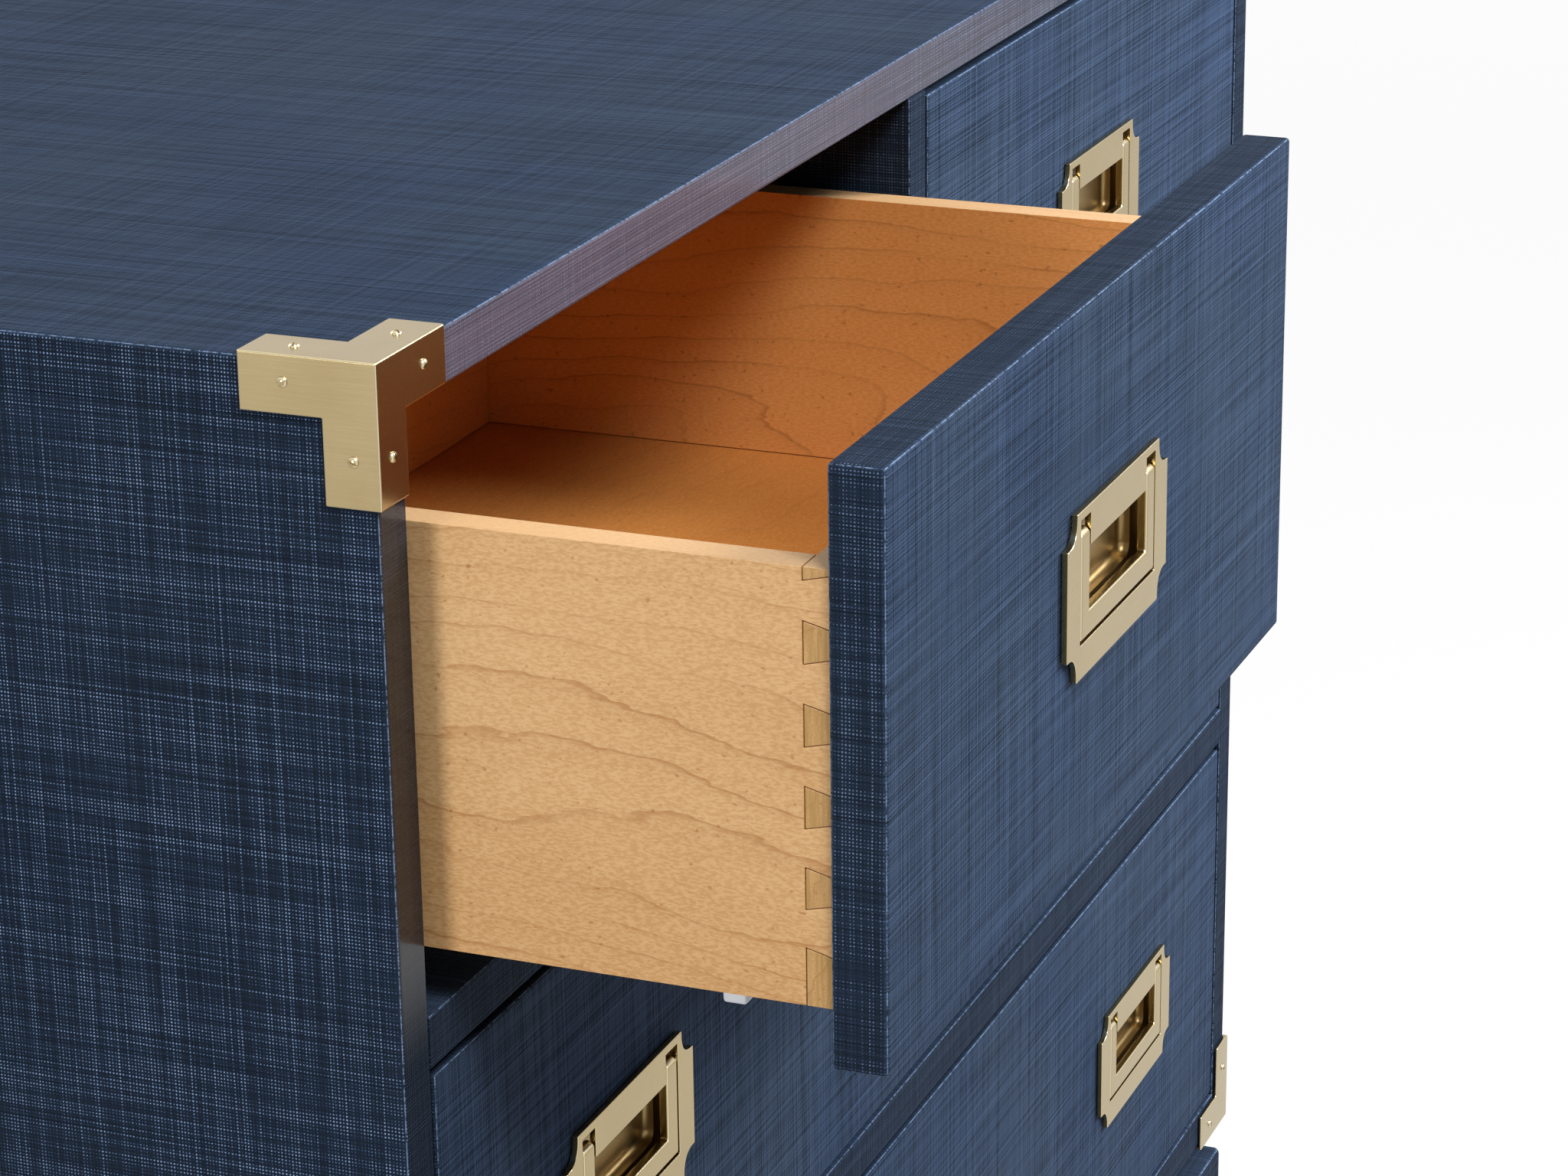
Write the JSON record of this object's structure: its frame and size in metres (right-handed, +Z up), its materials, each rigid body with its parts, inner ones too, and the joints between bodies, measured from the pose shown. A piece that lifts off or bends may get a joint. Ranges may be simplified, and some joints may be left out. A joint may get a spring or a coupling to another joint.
{
  "type": "campaign_chest",
  "caption": "Low campaign chest of drawers wrapped in navy lacquered linen, with flush brass bail pulls, brass corner straps, dovetailed maple drawers on runners and a set-back plinth",
  "frame": {"origin": "on the floor, in the middle of the plinth, on the underside of its centre stretcher", "axes": "+X to the right of someone facing the chest, +Y from the front to the back, +Z up"},
  "size_m": [1.0206, 0.6513, 0.8146],
  "materials": {
    "navy_linen": "boards wrapped in navy linen under satin lacquer, weave showing, edges rubbed pale",
    "dark_navy_board": "matt dark navy paint",
    "maple": "clear satin lacquer on solid maple",
    "satin_brass": "brushed satin brass, lightly antiqued",
    "zinc_steel": "bright zinc plate",
    "white_plastic": "moulded white plastic"
  },
  "bodies": {
    "case": {"case_top": "navy_linen", "case_bottom": "navy_linen", "case_left_side": "navy_linen", "case_right_side": "navy_linen", "case_back": "dark_navy_board", "upper_shelf": "navy_linen", "lower_shelf": "navy_linen", "top_divider": "navy_linen", "plinth_frame": "navy_linen", "corner_top_front_left": "satin_brass", "corner_top_front_right": "satin_brass", "corner_top_rear_left": "satin_brass", "corner_top_rear_right": "satin_brass", "corner_bottom_front_left": "satin_brass", "corner_bottom_front_right": "satin_brass", "corner_bottom_rear_left": "satin_brass", "corner_bottom_rear_right": "satin_brass", "runner_top_left": "zinc_steel", "runner_top_centre": "zinc_steel", "runner_top_right": "zinc_steel", "runner_middle_left": "zinc_steel", "runner_middle_right": "zinc_steel", "runner_bottom_left": "zinc_steel", "runner_bottom_right": "zinc_steel"},
    "drawer_top_left": {"top_left_front": "navy_linen", "top_left_box_front": "maple", "top_left_left_side": "maple", "top_left_right_side": "maple", "top_left_back": "maple", "top_left_bottom": "maple", "pull_plate_top_left": "satin_brass"},
    "drawer_top_right": {"top_right_front": "navy_linen", "top_right_box_front": "maple", "top_right_left_side": "maple", "top_right_right_side": "maple", "top_right_back": "maple", "top_right_bottom": "maple", "pull_plate_top_right": "satin_brass"},
    "drawer_middle": {"middle_front": "navy_linen", "middle_box_front": "maple", "middle_left_side": "maple", "middle_right_side": "maple", "middle_back": "maple", "middle_bottom": "maple", "pull_plate_middle_left": "satin_brass", "pull_plate_middle_right": "satin_brass"},
    "drawer_bottom": {"bottom_front": "navy_linen", "bottom_box_front": "maple", "bottom_left_side": "maple", "bottom_right_side": "maple", "bottom_back": "maple", "bottom_bottom": "maple", "pull_plate_bottom_left": "satin_brass", "pull_plate_bottom_right": "satin_brass"},
    "bail_top_left": {"pull_bail_top_left": "satin_brass"},
    "bail_top_right": {"pull_bail_top_right": "satin_brass"},
    "bail_middle_left": {"pull_bail_middle_left": "satin_brass"},
    "bail_middle_right": {"pull_bail_middle_right": "satin_brass"},
    "bail_bottom_left": {"pull_bail_bottom_left": "satin_brass"},
    "bail_bottom_right": {"pull_bail_bottom_right": "satin_brass"}
  },
  "joints": [
    {"name": "top_left_slide", "type": "slide", "parent": "case", "child": "drawer_top_left", "axis": [0, -1, 0], "range_m": [-0.166, 0.134]},
    {"name": "top_right_slide", "type": "slide", "parent": "case", "child": "drawer_top_right", "axis": [0, -1, 0], "range_m": [0, 0.3]},
    {"name": "middle_slide", "type": "slide", "parent": "case", "child": "drawer_middle", "axis": [0, -1, 0], "range_m": [0, 0.3]},
    {"name": "bottom_slide", "type": "slide", "parent": "case", "child": "drawer_bottom", "axis": [0, -1, 0], "range_m": [0, 0.3]},
    {"name": "top_left_hinge", "type": "hinge", "parent": "drawer_top_left", "child": "bail_top_left", "pos_m": [-0.249, -0.4072, 0.7055], "axis": [-1, 0, 0], "range_deg": [0, 90]},
    {"name": "top_right_hinge", "type": "hinge", "parent": "drawer_top_right", "child": "bail_top_right", "pos_m": [0.249, -0.2412, 0.7055], "axis": [-1, 0, 0], "range_deg": [0, 90]},
    {"name": "middle_left_hinge", "type": "hinge", "parent": "drawer_middle", "child": "bail_middle_left", "pos_m": [-0.328, -0.2412, 0.4695], "axis": [-1, 0, 0], "range_deg": [0, 90]},
    {"name": "middle_right_hinge", "type": "hinge", "parent": "drawer_middle", "child": "bail_middle_right", "pos_m": [0.328, -0.2412, 0.4695], "axis": [-1, 0, 0], "range_deg": [0, 90]},
    {"name": "bottom_left_hinge", "type": "hinge", "parent": "drawer_bottom", "child": "bail_bottom_left", "pos_m": [-0.328, -0.2412, 0.2335], "axis": [-1, 0, 0], "range_deg": [0, 90]},
    {"name": "bottom_right_hinge", "type": "hinge", "parent": "drawer_bottom", "child": "bail_bottom_right", "pos_m": [0.328, -0.2412, 0.2335], "axis": [-1, 0, 0], "range_deg": [0, 90]}
  ]
}
